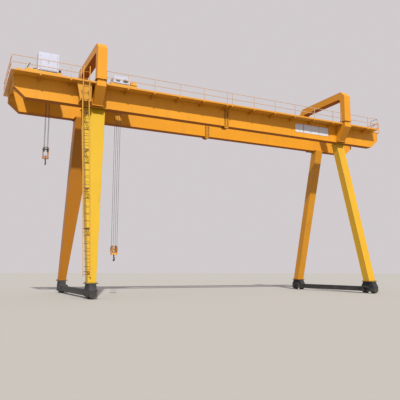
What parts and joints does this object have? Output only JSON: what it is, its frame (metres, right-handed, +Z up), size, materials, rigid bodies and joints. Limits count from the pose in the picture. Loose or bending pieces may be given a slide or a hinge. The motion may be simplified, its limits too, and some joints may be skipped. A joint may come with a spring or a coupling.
{
  "type": "double-girder gantry crane",
  "caption": "Yellow double-girder gantry crane on tapered box legs, with saddle arches, walkways and trolleys with hooks.",
  "frame": {"origin": "on the ground, under the middle of the girders' length and midway between them", "axes": "+X along the girders to the right, +Y from the front girder to the rear one, +Z up"},
  "size_m": [30, 9.98, 16.14],
  "materials": {
    "yellow_paint": "gloss",
    "rail_steel": "satin",
    "dark_paint": "satin",
    "white_paint": "satin",
    "plate_white": "satin",
    "wire_rope": "matte",
    "block_1_paint": "satin",
    "block_2_paint": "satin",
    "hook_steel": "matte"
  },
  "bodies": {
    "gantry": {"front_girder_left": "yellow_paint", "front_girder_right": "yellow_paint", "rear_girder_left": "yellow_paint", "rear_girder_right": "yellow_paint", "front_trolley_rail": "rail_steel", "rear_trolley_rail": "rail_steel", "end_stops": "yellow_paint", "left_arch": "yellow_paint", "right_arch": "yellow_paint", "left_corbels": "yellow_paint", "right_corbels": "yellow_paint", "leg_front_left": "yellow_paint", "leg_rear_left": "yellow_paint", "leg_front_right": "yellow_paint", "leg_rear_right": "yellow_paint", "left_sill": "dark_paint", "right_sill": "dark_paint", "truck_front_left": "dark_paint", "truck_rear_left": "dark_paint", "truck_front_right": "dark_paint", "truck_rear_right": "dark_paint", "front_walkway": "yellow_paint", "rear_walkway": "yellow_paint", "front_railing": "yellow_paint", "rear_railing": "yellow_paint", "left_end_platform": "yellow_paint", "right_end_platform": "yellow_paint", "leg_ladder": "yellow_paint", "ladder_landing": "yellow_paint", "name_plates": "plate_white"},
    "trolley_1": {"trolley_1_frame": "yellow_paint", "trolley_1_wheels": "rail_steel", "trolley_1_winch": "dark_paint", "trolley_1_cabinet": "white_paint", "hoist_ropes_1": "wire_rope"},
    "block_1": {"hook_block_1": "block_1_paint"},
    "hook_1": {"hook_1": "hook_steel"},
    "trolley_2": {"trolley_2_frame": "yellow_paint", "trolley_2_wheels": "rail_steel", "trolley_2_winch": "dark_paint", "trolley_2_cover": "white_paint", "hoist_ropes_2": "wire_rope"},
    "block_2": {"hook_block_2": "block_2_paint"},
    "hook_2": {"hook_2": "hook_steel"}
  },
  "joints": [
    {"name": "trolley_1_travel", "type": "slide", "parent": "gantry", "child": "trolley_1", "axis": [1, 0, 0], "range_m": [-0.1, 2.9]},
    {"name": "hoist_1", "type": "slide", "parent": "trolley_1", "child": "block_1", "axis": [0, 0, 1], "range_m": [-7.7, 3.2], "deforming": ["hoist_ropes_1"]},
    {"name": "hook_1_swivel", "type": "hinge", "parent": "block_1", "child": "hook_1", "pos_m": [-12.4, 0, 0], "axis": [0, 0, 1], "continuous": true},
    {"name": "trolley_2_travel", "type": "slide", "parent": "gantry", "child": "trolley_2", "axis": [1, 0, 0], "range_m": [0, 21]},
    {"name": "hoist_2", "type": "slide", "parent": "trolley_2", "child": "block_2", "axis": [0, 0, 1], "range_m": [-1.5, 9.5], "deforming": ["hoist_ropes_2"]},
    {"name": "hook_2_swivel", "type": "hinge", "parent": "block_2", "child": "hook_2", "pos_m": [-7.66, 0, 0], "axis": [0, 0, 1], "continuous": true}
  ]
}
